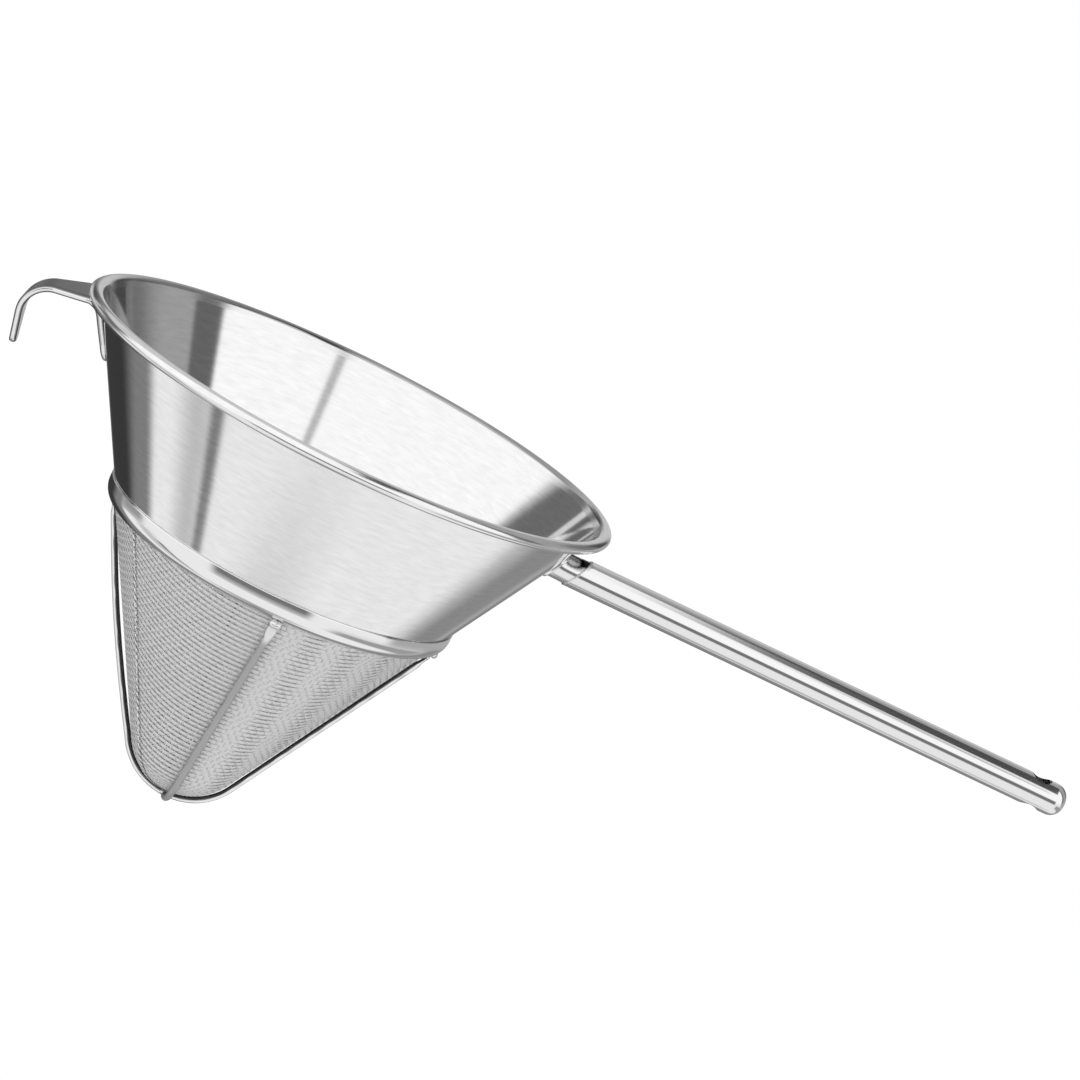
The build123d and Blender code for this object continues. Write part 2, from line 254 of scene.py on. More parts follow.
# the bead sits a little down the wall, so that the flare's crown is level with the mouth
beadCentre = moved((cone["mouthRadius"] - beadRadius, -beadRadius), up=-cone["settle"])
flareOut = cone["flareRadius"] - (curlRadius + cone["sheet"] + cone["crease"])
flareDown = math.sqrt((cone["flareRadius"] - curlRadius) ** 2 - flareOut ** 2)
flareCentre = moved(beadCentre, up=-flareDown, out=flareOut)
wallTop = moved(flareCentre, out=-cone["flareRadius"])
wallFoot = moved(wallTop, up=-(wallTop[1] + cone["depth"]) / cosWall)
topAngle = math.degrees(math.atan2(beadCentre[1] - flareCentre[1], beadCentre[0] - flareCentre[0]))


# Radius of the wall's outer face at a height, or of a cone that far outside it.
def wallRadius(height, out=0.0):
    point = moved(wallTop, out=cone["sheet"] / 2 + out)
    return point[0] + (height - point[1]) * tanWall


# Height at which the cone that far outside the wall comes to a point.
def apexHeight(out):
    point = moved(wallTop, out=cone["sheet"] / 2 + out)
    return point[1] - point[0] / tanWall


conePath = [("line", wallFoot, wallTop),
            ("arc", flareCentre, cone["flareRadius"], 180 - cone["halfAngle"], topAngle),
            ("arc", beadCentre, curlRadius, topAngle, topAngle - cone["curl"])]
coneSheet = adopt(revolved("coneSheet", stripLoop(conePath, cone["sheet"])), "cone_body")


# Round wire ring about the cone's axis: a circle round a point of the section, turned once.
def wireRing(name, centre, radius, sides):
    return revolved(name, polar(centre, radius, np.linspace(0, 360, sides, endpoint=False)).T, steps=240)


rimRing = wireRing("rimRing", beadCentre, cone["rimWire"] / 2, cone["rimWireSides"])
adopt(rimRing, "rim_wire")
print("sheet cone made")


# Band round the cone's foot, turned in under it, with the mesh's edge and a wire ring inside
bandSize = dict(sheet=0.6, height=8.1, turnRadius=5.5, turn=62.0, drop=0.45, edgeRing=0.55,
                ringSides=12)
meshSize = dict(thickness=0.45, tipRadius=22.4, trimHeight=-61.5)
meshOut = cone["gap"] + meshSize["thickness"]
bandTop = bandSize["height"] - cone["depth"]
bandRadius = wallRadius(bandTop) + cone["gap"] / cosWall + bandSize["sheet"] / 2
turnCentre = np.array([bandRadius - bandSize["turnRadius"],
                       -cone["depth"] + bandSize["turnRadius"] + bandSize["sheet"] / 2 - bandSize["drop"]])
turnEnd = polar(turnCentre, bandSize["turnRadius"], -bandSize["turn"])
sinTurn, cosTurn = float(sind(bandSize["turn"])), float(cosd(bandSize["turn"]))
lipReach = turnEnd[0] - wallRadius(turnEnd[1], meshOut + cone["gap"])
lipCorner = bandSize["sheet"] / 2 * (cosTurn + sinTurn * tanWall)
lipEnd = polar(turnEnd, (lipReach - lipCorner) / (sinTurn - cosTurn * tanWall), 270 - bandSize["turn"])
bandPath = [("line", (bandRadius, bandTop), (bandRadius, turnCentre[1])),
            ("arc", turnCentre, bandSize["turnRadius"], 0, -bandSize["turn"]),
            ("line", turnEnd, lipEnd)]
clampBand = revolved("clampBand", stripLoop(bandPath, bandSize["sheet"], step=1.0))
adopt(clampBand, "mesh_band")
ringAt = turnCentre + np.array([cosWall, -sinWall]) * (bandSize["turnRadius"] - bandSize["sheet"] / 2
                                                        - bandSize["edgeRing"] - cone["gap"])
edgeRing = wireRing("edgeRing", ringAt, bandSize["edgeRing"], bandSize["ringSides"])
adopt(edgeRing, "mesh_edge_wire")
print("band made")


# The cloth is woven flat and rolled into the cone, so its wires run round the cone at the front
# and slant at the sides.
weave = dict(hoopPitch=2.2, crossPitch=1.5, hoopHalfWidth=0.92, crossHalfWidth=0.16, hoopHalfThick=0.15,
             crossHalfThick=0.07, hoopSides=8, crossSides=6, rise=0.07, levelAt=-92.0, seamAt=-145.3,
             lap=4.0, lapLift=0.42, lapRise=0.8, lapSweep=200.0, eye=0.6, longestStep=1.5)
clothOut = cone["gap"] + meshSize["thickness"] / 2
clothApex = apexHeight(clothOut)
tipRadius = meshSize["tipRadius"] - meshSize["thickness"] / 2
tipCentre = clothApex + tipRadius / sinWall
tangentSlant = tipRadius / tanWall                      # slant length at which the round tip starts
capArc = tipRadius * math.radians(90 - cone["halfAngle"])
capBend = (capArc - tangentSlant) / (capArc ** 2)       # how the cloth is gathered over the round tip
capStart = 1 - 2 * capBend * capArc
topSlant = (meshSize["trimHeight"] - clothApex) / cosWall
seamTurn = 180 * sinWall                                # half the flat sector's angle, in degrees


# Flat cloth (along, across) rolled round the cone: slant length and angle become radius, height and
# normal.
def onCloth(along, across):
    tilt = (weave["levelAt"] - weave["seamAt"] - 180) * sinWall
    u = along * cosd(tilt) - across * sind(tilt)
    v = along * sind(tilt) + across * cosd(tilt)
    slant, turn = np.hypot(u, v), np.degrees(np.arctan2(v, u))
    over = np.where((turn < weave["lapSweep"] - seamTurn) & (turn > seamTurn), turn - seamTurn, 0)
    theta = weave["seamAt"] + 180 + turn / sinWall
    under = np.minimum(slant, tangentSlant)
    arc = (-capStart + np.sqrt(np.maximum(capStart ** 2 + 4 * capBend * under, 0))) / (2 * capBend)
    swing = np.degrees(arc / tipRadius)
    onTip = slant < tangentSlant
    radius = np.where(onTip, tipRadius * sind(swing), slant * sinWall)
    height = np.where(onTip, tipCentre - tipRadius * cosd(swing), clothApex + slant * cosWall)
    outR, outZ = np.where(onTip, sind(swing), cosWall), np.where(onTip, -cosd(swing), -sinWall)
    beyond = slant * np.radians(over)                   # how far past the seam, along the cloth
    lift = np.clip(beyond / weave["lapRise"], 0, 1) * weave["lapLift"]
    inside = (slant < topSlant) & (slant > weave["eye"]) & (turn > -seamTurn) & (beyond < weave["lap"])
    normal = np.stack([outR * cosd(theta), outR * sind(theta), outZ], -1)
    point = np.stack([radius * cosd(theta), radius * sind(theta), height], -1) + normal * lift[..., None]
    return point, normal, inside


# Parallel cloth wires, each a flattened tube that rises and dips at every crossing (plain weave).
def wireFamily(name, hoops, part):
    own, other = ("hoop", "cross") if hoops else ("cross", "hoop")
    pitch, crossing = weave[own + "Pitch"], weave[other + "Pitch"]
    sides, halfThick, halfWidth = weave[own + "Sides"], weave[own + "HalfThick"], weave[own + "HalfWidth"]
    swing = weave["rise"] if hoops else weave["hoopHalfThick"] + weave["rise"]
    reach = topSlant + weave["lap"]
    lines = np.arange(-int(reach / pitch) - 1, int(reach / pitch) + 2)[part::2]
    samples = np.arange(-int(reach / crossing) * 2 - 2, int(reach / crossing) * 2 + 3)
    k, s = np.meshgrid(lines, samples, indexing="ij")
    fixed, running = k * pitch, s * crossing / 2
    wave = np.cos(np.pi * (s / 2 + k)) * (1 if hoops else -1)
    centre, normal, inside = onCloth(fixed, running) if hoops else onCloth(running, fixed)
    centre = centre + normal * (wave * swing)[..., None]
    ahead = np.gradient(centre, axis=1)
    ahead /= np.maximum(np.linalg.norm(ahead, axis=-1, keepdims=True), 1e-9)
    upright = normal - (normal * ahead).sum(-1, keepdims=True) * ahead
    upright /= np.maximum(np.linalg.norm(upright, axis=-1, keepdims=True), 1e-9)
    sideways = np.cross(ahead, upright)
    step = np.linalg.norm(np.diff(centre, axis=1), axis=-1)
    linked = inside[:, 1:] & inside[:, :-1] & (step < crossing * weave["longestStep"])
    starts = np.pad(linked, ((0, 0), (1, 0))) ^ np.pad(linked, ((0, 0), (0, 1)))
    size = np.where(starts, 0.0, 1.0)                   # an end of a wire closes to a point
    turn = np.arange(sides) * 360.0 / sides
    ring = (centre[:, :, None, :]
            + (size * halfWidth)[:, :, None, None] * cosd(turn)[:, None] * sideways[:, :, None, :]
            + (size * halfThick)[:, :, None, None] * sind(turn)[:, None] * upright[:, :, None, :])
    index = np.arange(ring.shape[0] * ring.shape[1] * sides).reshape(ring.shape[:3])
    a, b = index[:, :-1][linked], index[:, 1:][linked]
    quads = np.stack([a, b, np.roll(b, -1, 1), np.roll(a, -1, 1)], -1).reshape(-1, 4)
    used, quads = np.unique(quads, return_inverse=True)
    piece = meshFromArrays(name, ring.reshape(-1, 3)[used], quads.reshape(-1, 4))
    # painted shade: each cloth wire is darkened along its two sides, where the gaps between the wires are
    markPaintedShade(piece, np.abs(cosd(turn))[used % sides])   # 1 along a wire's two sides, 0 on its back
    return merged(piece)


meshPieces = []
for label, hoops in (("meshHoops", True), ("meshRibs", False)):
    for part in (0, 1):
        wires = wireFamily(label + "AB"[part], hoops, part)
        meshPieces.append(adopt(wires, "mesh_cone"))
        print(wires.name, "faces", len(wires.data.polygons))

# Spot welds that hold the lap down, one every few millimetres along it
spotWeld = dict(pitch=3.0, radius=0.85, halfThick=0.28, margin=3.0, acrossLap=0.55, wobble=0.12,
                firstSeed=60)
dots = []
slants = np.arange(tangentSlant + spotWeld["margin"], topSlant - spotWeld["margin"], spotWeld["pitch"])
for k, slant in enumerate(slants):
    spin = weave["seamAt"] + math.degrees(weave["lap"] * spotWeld["acrossLap"] / (slant * sinWall))
    out = weave["lapLift"] + weave["hoopHalfThick"]
    spot = [slant * sinWall + out * cosWall, 0, clothApex + slant * cosWall - out * sinWall]
    c, s = float(cosd(spin)), float(sind(spin))
    axes = [[cosWall * c, cosWall * s, -sinWall], [-s, c, 0], [sinWall * c, sinWall * s, cosWall]]
    dots.append(blob("dot%d" % k, (spot[0] * c, spot[0] * s, spot[2]), axes,
                     (spotWeld["halfThick"], spotWeld["radius"], spotWeld["radius"]), spotWeld["wobble"],
                     spotWeld["firstSeed"] + k, rings=4, sides=9))
seamDots = adopt(joined("seamDots", dots), "mesh_cone")
print("mesh made")


# Two U-shaped wires that cross under the tip, their flattened feet welded to the band
guard = dict(wire=2.5, gap=0.4, crossAngle=79.5, turn=-4.0, topGap=1.9, footLength=4.0, footTaper=2.6,
             footWidth=3.5, footThick=1.5, endRound=0.9, press=1.63, leftBow=1.6, sideDrop=0.5,
             wobble=0.06, longRipple=1.9, shortRipple=1.15, shortShare=0.6, liftShare=0.3,
             sides=20, legPoints=90, tipPoints=28, shadeFrom=0.25)
guardRadius = guard["wire"] / 2
legOut = meshOut + guard["gap"] + guardRadius
legTopHeight = -cone["depth"] - bandSize["sheet"] / 2 - guard["topGap"]
legTop = np.array([wallRadius(legTopHeight, legOut), legTopHeight])
guardTurns = [guard["turn"] + step for step in (0, 180, -guard["crossAngle"], 180 - guard["crossAngle"])]
sideTipRadius = meshSize["tipRadius"] + guard["gap"] + guardRadius
tipStep = guard["wire"] - guard["press"]


# Points turned about the cone's axis.
def turned(points, angle):
    c, s = cosd(angle), sind(angle)
    x, y, z = points[..., 0], points[..., 1], points[..., 2]
    return np.stack([x * c - y * s, x * s + y * c, z], -1)


# Straight leg, round tip and straight leg; the section turns from a circle to a flat oval at each
# foot.
def guardWire(name, drop, angle, bow=0.0):
    radius = sideTipRadius - drop / (1 / sinWall - 1)
    centre = np.array([0, apexHeight(legOut) + radius / sinWall])
    tangent = polar(centre, radius, -cone["halfAngle"])
    legLength = np.linalg.norm(legTop - tangent)
    down = np.linspace(0, 1, guard["legPoints"])[:, None]
    leg = legTop + down * (tangent - legTop)
    arc = polar(centre, radius, np.linspace(-cone["halfAngle"], -90, guard["tipPoints"])[1:]).T
    half = np.concatenate([leg, arc])
    away = np.concatenate([down[:, 0] * legLength, np.full(len(arc), legLength)])
    path2 = np.concatenate([half, half[-2::-1] * [-1, 1]])
    # the last leg stands off the mesh, most at its middle
    path2[-len(down):] += bow * sind(180 * down[::-1]) * [-cosWall, -sinWall]
    away = np.concatenate([away, away[-2::-1]])
    flat = eased(1 - (away - guard["footLength"]) / guard["footTaper"])
    endShare = roundedEnd(away / guard["endRound"], 0.0004)
    wide = (guardRadius + (guard["footWidth"] / 2 - guardRadius) * flat) * endShare
    thick = (guardRadius + (guard["footThick"] / 2 - guardRadius) * flat) * endShare
    run = np.concatenate([[0], np.cumsum(np.linalg.norm(np.diff(path2, axis=0), axis=1))])
    shortWave = guard["shortShare"] * np.sin(run / guard["shortRipple"] + 2 * angle)
    bend = guard["wobble"] * (np.sin(run / guard["longRipple"] + angle) + shortWave) * (1 - flat)
    path = turned(np.stack([path2[:, 0], bend, path2[:, 1] + guard["liftShare"] * bend[::-1]], -1), angle)
    sideways = turned(np.tile([0.0, 1.0, 0.0], (len(path), 1)), angle)
    sides = guard["sides"]
    wire = sweptTube(name, path, sideways, wide, thick, sides)
    # painted shade: 1 on the side that faces the mesh, which the steel darkens
    inward = np.clip(guard["shadeFrom"] - sind(np.arange(sides) * 360 / sides), 0, 1)
    markPaintedShade(wire, np.concatenate([np.tile(inward, len(path)), [0, 0]]))
    return wire


sideWire = guardWire("guardSide", guard["sideDrop"], guardTurns[0], guard["leftBow"])
adopt(sideWire, "guard_side_wire")
frontWire = adopt(guardWire("guardFront", tipStep, guardTurns[2]), "guard_front_wire")
print("guard wires made")

welds = dict(foot=(1.6, 1.6, 1.35), lobe=0.75, lobeDrop=0.15, footUp=1.05, footOut=0.25, footWobble=0.07,
             footSeed=20, tip=(2.3, 2.3, 1.2), tipWobble=0.08, tipSeed=31)
footBlobs = []
for k, angle in enumerate(guardTurns):
    for side in (-1, 1):                                # two lobes of weld, one a little lower
        place = moved(legTop, up=welds["footUp"] - welds["lobeDrop"] * side, out=welds["footOut"])
        spot = turned(np.array([place[0], side * welds["lobe"], place[1]]), angle)
        axes = turned(np.array([[cosWall, 0, -sinWall], [0, 1, 0], [sinWall, 0, cosWall]]), angle)
        footBlobs.append(blob("foot%d%d" % (k, side), spot, axes, welds["foot"], welds["footWobble"],
                              welds["footSeed"] + 2 * k + side))
footWelds = adopt(joined("footWelds", footBlobs), "guard_foot_welds")
tipHeight = apexHeight(legOut) + sideTipRadius * (1 / sinWall - 1) - tipStep / 2
tipWeld = blob("tipWeld", (0, 0, tipHeight), np.eye(3), welds["tip"], welds["tipWobble"], welds["tipSeed"])
adopt(tipWeld, "guard_tip_weld")


# Round tube, cut along the cone's slope at the near end, round and drilled at the far end
handle = dict(diameter=12.0, wall=1.0, rise=0.7, drop=19.1, reach=190.2, endRound=5.0, nearGap=8.0,
              hole=8.0, holeInset=11.6, solidEnd=20.0, innerRound=1.0, sides=72, holeSides=64, sharpFrom=40)
handleAxis = np.array([float(cosd(handle["rise"])), 0, float(sind(handle["rise"]))])
handleUp = np.array([-handleAxis[2], 0, handleAxis[0]])
handleSide = np.array([0, 1, 0])
handleStart = np.array([cone["mouthRadius"], 0, -handle["drop"]])
wallNormal = np.array([cosWall, 0, -sinWall])


# Points of a circle square to the handle's axis, measured from its centre.
def spokesAt(radius, angle):
    return radius * (cosd(angle)[:, None] * handleSide + sind(angle)[:, None] * handleUp)


# Distance along the handle at which lines beside its axis cross the plane that far outside the wall.
def cutAlong(spokes, out):
    origin = np.array([wallRadius(-handle["drop"]), 0, -handle["drop"]]) + wallNormal * out
    return ((origin - handleStart - spokes) @ wallNormal) / (handleAxis @ wallNormal)


# Profile from the slanted near end to the rounded far end, turned about the handle's axis.
def tubeSkin(radius, end, endRound, turns):
    spoke = spokesAt(radius, turns)
    near = cutAlong(spoke, handle["nearGap"])
    share = np.concatenate([[0, 0.002, 0.006], np.linspace(0.02, 1, 46)])      # rows crowd at the cut end
    straight = near[:, None] + share[None, :] * (end - endRound - near[:, None])
    bow = np.linspace(0, 90, 12)[1:]
    domeLength = end - endRound + endRound * sind(bow)
    domeShare = (radius - endRound + endRound * cosd(bow)) / radius
    lengths = np.concatenate([straight, np.tile(domeLength, (len(turns), 1))], 1)
    scales = np.concatenate([np.ones(len(share)), domeShare])
    return handleStart + lengths[..., None] * handleAxis + spoke[:, None, :] * scales[None, :, None]


turns = np.linspace(0, 360, handle["sides"], endpoint=False)
outer = tubeSkin(handle["diameter"] / 2, handle["reach"], handle["endRound"], turns)
hollowEnd = handle["reach"] - handle["solidEnd"]
inner = tubeSkin(handle["diameter"] / 2 - handle["wall"], hollowEnd, handle["innerRound"], turns)
endOut = np.tile(handleStart + handle["reach"] * handleAxis, (len(turns), 1, 1))
endIn = np.tile(handleStart + hollowEnd * handleAxis, (len(turns), 1, 1))
tubeGrid = np.concatenate([outer, endOut, endIn, inner[:, ::-1]], 1)
handleTube = merged(gridMesh("handleTube", tubeGrid), 1e-6)
holeCentre = handleStart + (handle["reach"] - handle["holeInset"]) * handleAxis
holeTurn = np.linspace(0, 360, handle["holeSides"], endpoint=False)
holeRing = handle["hole"] / 2 * (cosd(holeTurn)[:, None] * handleAxis + sind(holeTurn)[:, None] * handleSide)
holeGrid = np.stack([holeCentre + holeRing + handleUp * handle["diameter"] * way for way in (-1, 1)])
cutter = gridMesh("holeCutter", holeGrid, wrapRows=False, capEnds=True)


# Takes one closed mesh out of another and keeps the result as plain mesh.
def drilled(piece, tool):
    cut = piece.modifiers.new("hole", "BOOLEAN")
    cut.operation, cut.solver, cut.object = "DIFFERENCE", "EXACT", tool
    result = bpy.data.meshes.new_from_object(piece.evaluated_get(bpy.context.evaluated_depsgraph_get()))
    piece.modifiers.clear()
    old = piece.data
    piece.data = result
    bpy.data.meshes.remove(old)
    bpy.data.objects.remove(tool)
    return piece


drilled(handleTube, cutter)
handleTube.data.shade_smooth()
handleTube.data.set_sharp_from_angle(angle=math.radians(handle["sharpFrom"]))
adopt(handleTube, "handle_tube")
print("handle made")

# Fixing at the wall: a pad bent round the cone and a neck that runs into the tube's open end
fixing = dict(padWide=14.5, padHigh=12.0, padCorner=3.5, padThick=1.6, padEdge=0.55, padSides=96,
              neckAtPad=0.86, neckInTube=0.94, neckFoot=0.08, footPower=6, neckLift=0.3, into=1.5)
along = np.linspace(0, 1, 24)
flare = (fixing["neckInTube"] + (fixing["neckAtPad"] - fixing["neckInTube"]) * (1 - along)
         + fixing["neckFoot"] * (1 - along) ** fixing["footPower"])
neckSpoke = spokesAt(handle["diameter"] / 2, turns)[None] * flare[:, None, None]
outs = cone["gap"] + fixing["neckLift"] + along * (handle["nearGap"] + fixing["into"])
reachAlong = np.stack([cutAlong(spoke, out) for spoke, out in zip(neckSpoke, outs)])
neckGrid = handleStart + neckSpoke + reachAlong[..., None] * handleAxis
neck = gridMesh("neck", neckGrid, wrapRows=False, capEnds=True)

padTurn = np.linspace(0, 360, fixing["padSides"], endpoint=False)
halfU, halfV = fixing["padWide"] / 2, fixing["padHigh"] / 2
# the outline is a rectangle with round corners: a superellipse whose power follows from the corner
power = 2.0 / (fixing["padCorner"] / halfV)
outlineU = halfU * np.sign(cosd(padTurn)) * np.abs(cosd(padTurn)) ** (2 / power)
outlineV = halfV * np.sign(sind(padTurn)) * np.abs(sind(padTurn)) ** (2 / power)
bow = np.linspace(0, 90, 6)
inset = np.concatenate([[halfV, 0], fixing["padEdge"] * (1 - cosd(bow)), [halfV]])
lift = np.concatenate([[0, 0], fixing["padThick"] - fixing["padEdge"] * (1 - sind(bow)),
                       [fixing["padThick"]]])
shrink = 1 - inset / halfV
padU, padV = outlineU * shrink[:, None], outlineV * shrink[:, None]
padHeight = -handle["drop"] + padV * cosWall
padOut = cone["gap"] + lift[:, None]
padRadius = wallRadius(-handle["drop"]) + padV * sinWall + padOut * cosWall
padAngle = np.degrees(padU / wallRadius(-handle["drop"]))
padGrid = np.stack([padRadius * cosd(padAngle), padRadius * sind(padAngle), padHeight - padOut * sinWall], -1)
pad = merged(gridMesh("pad", padGrid, wrapRows=False))
handleFixing = adopt(joined("handleFixing", [pad, neck]), "handle_bracket")

# Weld bead round the joint, its thickness rippled by waves of (depth, count, phase)
bead = dict(diameter=1.0, neckShare=0.93, ripples=((0.08, 9, 0), (0.06, 4, 40)), steps=120, sides=16)
ringTurn = np.linspace(0, 360, bead["steps"], endpoint=False)
ringSpoke = spokesAt(bead["neckShare"] * handle["diameter"] / 2, ringTurn)
ringPath = handleStart + ringSpoke + cutAlong(ringSpoke, handle["nearGap"])[:, None] * handleAxis
ripple = 1 + sum(depth * sind(ringTurn * count + phase) for depth, count, phase in bead["ripples"])
ringAhead = np.roll(ringPath, -1, 0) - np.roll(ringPath, 1, 0)
ringAhead /= np.linalg.norm(ringAhead, axis=1, keepdims=True)
ringOut = ringSpoke / np.linalg.norm(ringSpoke, axis=1, keepdims=True)
ringOut = ringOut - (ringOut * ringAhead).sum(1, keepdims=True) * ringAhead
ringOut /= np.linalg.norm(ringOut, axis=1, keepdims=True)
ringBack = np.cross(ringAhead, ringOut)
small = np.linspace(0, 360, bead["sides"], endpoint=False)[:, None]
beadGrid = (ringPath[:, None, :] + (bead["diameter"] / 2 * ripple)[:, None, None]
            * (cosd(small) * ringOut[:, None, :] + sind(small) * ringBack[:, None, :]))
handleBead = adopt(gridMesh("handleBead", beadGrid), "handle_weld")


# Hook of thick sheet: a tongue on the wall, a fold below the rim, a tapering plate, a bend and a tail
hook = dict(sheet=2.5, rootWidth=31.0, rootRun=3.0, bendWidth=19.0, tailWidth=13.0, tipWidth=8.6, rimGap=0.8,
            droop=14.0, skew=2.0, skewRun=6.0, reach=20.1, bendRadius=11.0, lean=11.0, tail=34.0,
            tongue=21.8, tongueEnd=12.0, tongueFade=5.5, foldRadius=4.2, edge=1.2, step=0.8,
            wrapEnd=5.0, wrapRun=6.0, facePoints=25, edgePoints=9, faceShade=0.63)
plateMid = -beadRadius * 2 - hook["rimGap"] - hook["sheet"] / 2 / float(cosd(hook["droop"]))
bendX = cone["mouthRadius"] + hook["reach"] - hook["sheet"] / 2 - hook["bendRadius"]
plateFall = (bendX - beadCentre[0]) * math.tan(math.radians(hook["droop"]))
bendZ = plateMid - plateFall - hook["bendRadius"] / float(cosd(hook["droop"]))
bendCentre = np.array([bendX, bendZ])


# Section of the hook: tongue up the wall, fold, plate, bend and tail.
def hookPath():
    mid = hook["sheet"] / 2 + cone["gap"]
    root = moved((wallRadius(plateMid), plateMid), out=mid)
    low = moved(root, up=-hook["tongue"])
    bendStart = polar(bendCentre, hook["bendRadius"], 90 - hook["droop"])
    plateDown = np.array([float(cosd(hook["droop"])), -float(sind(hook["droop"]))])
    wallUp = np.array([sinWall, cosWall])
    # corner where the tongue's middle line meets the plate's, then the fold's tangent points
    solve = np.linalg.solve(np.stack([wallUp, -plateDown], 1), bendStart - low)
    corner = low + solve[0] * wallUp
    turn = math.acos(float(wallUp @ plateDown))
    back = hook["foldRadius"] * math.tan(turn / 2)
    foldStart, foldEnd = corner - back * wallUp, corner + back * plateDown
    foldCentre = foldStart + hook["foldRadius"] * np.array([cosWall, -sinWall])
    first = math.degrees(math.atan2(*(foldStart - foldCentre)[::-1]))
    last = math.degrees(math.atan2(*(foldEnd - foldCentre)[::-1]))
    tailTop = polar(bendCentre, hook["bendRadius"], -hook["lean"])
    tailEnd = polar(tailTop, (tailTop[1] + hook["tail"]) / float(cosd(hook["lean"])), 270 - hook["lean"])
    path = [("line", low, foldStart), ("arc", foldCentre, hook["foldRadius"], first, last),
            ("line", foldEnd, bendStart),
            ("arc", bendCentre, hook["bendRadius"], 90 - hook["droop"], -hook["lean"]),
            ("line", tailTop, tailEnd)]
    return *runPoints(path, hook["step"]), corner, bendStart


# Strip with rounded edges: half width and curvature vary along the path, the tongue wraps the cone.
def hookPiece(name):
    points, normals, corner, bendStart = hookPath()
    gone = np.concatenate([[0], np.cumsum(np.linalg.norm(np.diff(points, axis=0), axis=1))])
    total = gone[-1]
    cornerAt = gone[np.argmin(np.linalg.norm(points - corner, axis=1))]
    bendAt = gone[np.argmin(np.linalg.norm(points - bendStart, axis=1))]
    bendOver = bendAt + hook["bendRadius"] * math.radians(90 - hook["droop"] + hook["lean"])
    halfTongue, halfRoot, halfTip = hook["tongueEnd"] / 2, hook["rootWidth"] / 2, hook["tipWidth"] / 2
    half = np.interp(gone, [0, halfTongue, cornerAt, cornerAt + hook["rootRun"], bendAt, bendOver,
                            total - halfTip, total],
                     [halfTongue, halfTongue, halfRoot, halfRoot, hook["bendWidth"] / 2,
                      hook["tailWidth"] / 2, halfTip, halfTip])
    half *= roundedEnd(np.minimum(gone / halfTongue, (total - gone) / halfTip), 0.0009)
    fade = np.minimum(gone / hook["tongueFade"], (total - gone) / hook["edge"])
    thick = hook["sheet"] / 2 * roundedEnd(fade, 0.002)
    # closed outline of the cross-section: flat faces with round edges
    across = np.linspace(-1, 1, hook["facePoints"])
    edgeTurn = np.linspace(-90, 90, hook["edgePoints"])[1:-1]
    rim = np.minimum(hook["edge"], half * 0.9)
    flatHalf = np.maximum(half - rim, 0.01)
    flatHalf, rim = flatHalf[:, None], rim[:, None]
    y = np.concatenate([flatHalf * across, flatHalf + rim * cosd(edgeTurn[::-1]),
                        flatHalf * across[::-1], -flatHalf - rim * cosd(edgeTurn)], 1)
    top = np.ones(len(across))
    edgeLift = sind(edgeTurn)
    level = np.concatenate([top, edgeLift[::-1], -top, edgeLift])
    offset = thick[:, None] * level[None, :]
    wallShare = eased(1 - (gone - (cornerAt - hook["wrapEnd"])) / hook["wrapRun"])
    radius = points[:, :1]
    dip = (np.sqrt(np.maximum(radius ** 2 - y ** 2, 0)) - radius) * wallShare[:, None]
    x = points[:, 0][:, None] + normals[:, 0][:, None] * offset + dip
    z = points[:, 1][:, None] + normals[:, 1][:, None] * offset
    skew = np.clip((gone - cornerAt) / hook["skewRun"], 0, 1) * hook["skew"]
    pivot = np.array([beadCentre[0], 0, 0])
    grid = turned(np.stack([x, y, z], -1) - pivot, skew[:, None]) + pivot
    piece = gridMesh(name, grid * [-1, -1, 1], wrapRows=False, capEnds=True)
    face = top * hook["faceShade"]                      # painted shade: flat faces and the round edges next to them are darker than a round edge's middle
    hookPaintedShade = np.concatenate([face, np.abs(edgeLift), face, np.abs(edgeLift)])
    markPaintedShade(piece, np.concatenate([np.tile(hookPaintedShade, len(gone)), [0, 0]]))
    return piece


restHook = adopt(hookPiece("restHook"), "hook")
print("hook made")


# Wraps a node's output so that plain maths on it adds Math nodes.
class Socket:
    def __init__(self, tree, link):
        self.tree, self.link = tree, link

    def math(self, operation, a, b=None):
        terms = [a] if b is None else [a, b]
        return self.tree.node("ShaderNodeMath", {"operation": operation}, terms).value()

    def __add__(self, other): return self.math("ADD", self, other)
    def __radd__(self, other): return self.math("ADD", other, self)
    def __sub__(self, other): return self.math("SUBTRACT", self, other)
    def __rsub__(self, other): return self.math("SUBTRACT", other, self)
    def __mul__(self, other): return self.math("MULTIPLY", self, other)
    def __rmul__(self, other): return self.math("MULTIPLY", other, self)
    def __truediv__(self, other): return self.math("DIVIDE", self, other)


# A node and its outputs.
class Node:
    def __init__(self, tree, made):
        self.tree, self.made = tree, made

    def value(self, name=0):
        return Socket(self.tree, self.made.outputs[name])


# A node tree that is built by naming node types, settings and inputs.
class Tree:
    def __init__(self, nodeTree):
        self.nodeTree = nodeTree
        nodeTree.nodes.clear()

    def node(self, kind, settings=None, inputs=None):
        made = self.nodeTree.nodes.new(kind)
        for key, setting in (settings or {}).items():
            setattr(made, key, setting)
        pairs = inputs.items() if isinstance(inputs, dict) else enumerate(inputs or [])
        for name, given in pairs:
            if isinstance(given, Socket):
                self.nodeTree.links.new(given.link, made.inputs[name])
            else:
                made.inputs[name].default_value = given
        return Node(self, made)


def objectPoint(tree):
    return tree.node("ShaderNodeTexCoord").value("Object")


def noise(tree, vector, scale, detail=2.0, roughness=0.5):
    return tree.node("ShaderNodeTexNoise", {}, {"Vector": vector, "Scale": scale, "Detail": detail,
                                                 "Roughness": roughness}).value(0)


def stretched(tree, vector, scale):
    return tree.node("ShaderNodeVectorMath", {"operation": "MULTIPLY"}, [vector, scale]).value()


